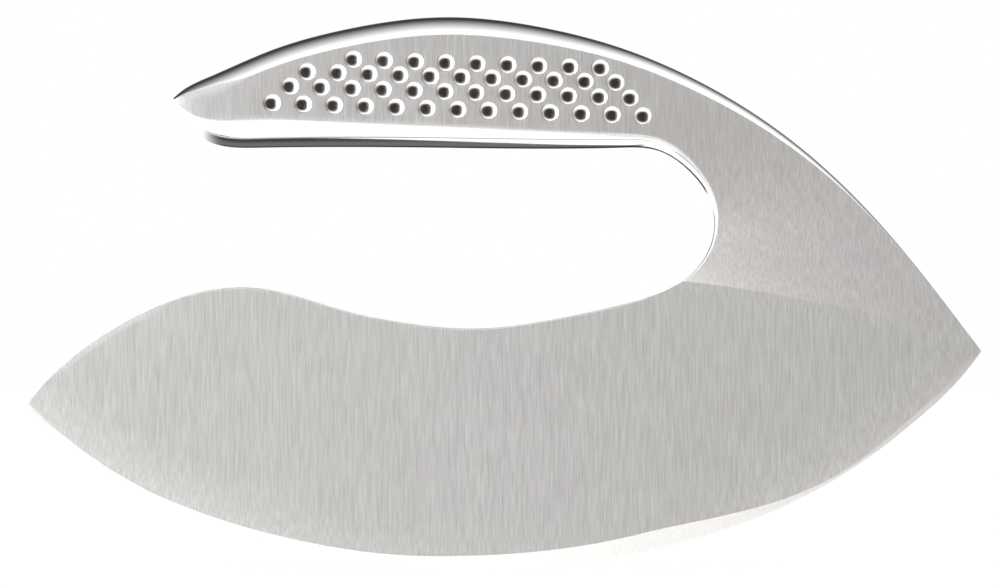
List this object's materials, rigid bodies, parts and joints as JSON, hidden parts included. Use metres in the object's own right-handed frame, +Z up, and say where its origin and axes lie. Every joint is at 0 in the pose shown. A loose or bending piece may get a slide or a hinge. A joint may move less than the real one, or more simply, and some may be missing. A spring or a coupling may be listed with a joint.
{
  "type": "mezzaluna",
  "caption": "One-handed rocking knife: a curved steel blade with a dimpled hollow steel handle that bends round over it in a C.",
  "frame": {"origin": "under the middle of the object, level with the lowest point of the cutting edge", "axes": "+X along the blade towards the handle's neck, +Y across the blade, +Z up from the cutting edge to the handle"},
  "size_m": [0.19, 0.0148, 0.1102],
  "materials": {
    "blade_steel": "fine brushing square to the blade, ground edge",
    "handle_steel": "satin flats with polished crown, roll and dimples",
    "weld_steel": "ground flush and brushed",
    "sand": "packed grains"
  },
  "bodies": {
    "root": {"blade": "blade_steel", "front_shell": "handle_steel", "back_shell": "handle_steel", "front_joint_weld": "weld_steel", "back_joint_weld": "weld_steel", "spine_seam_weld": "weld_steel", "grip_seam_weld": "weld_steel", "sand_fill": "sand"}
  },
  "joints": []
}
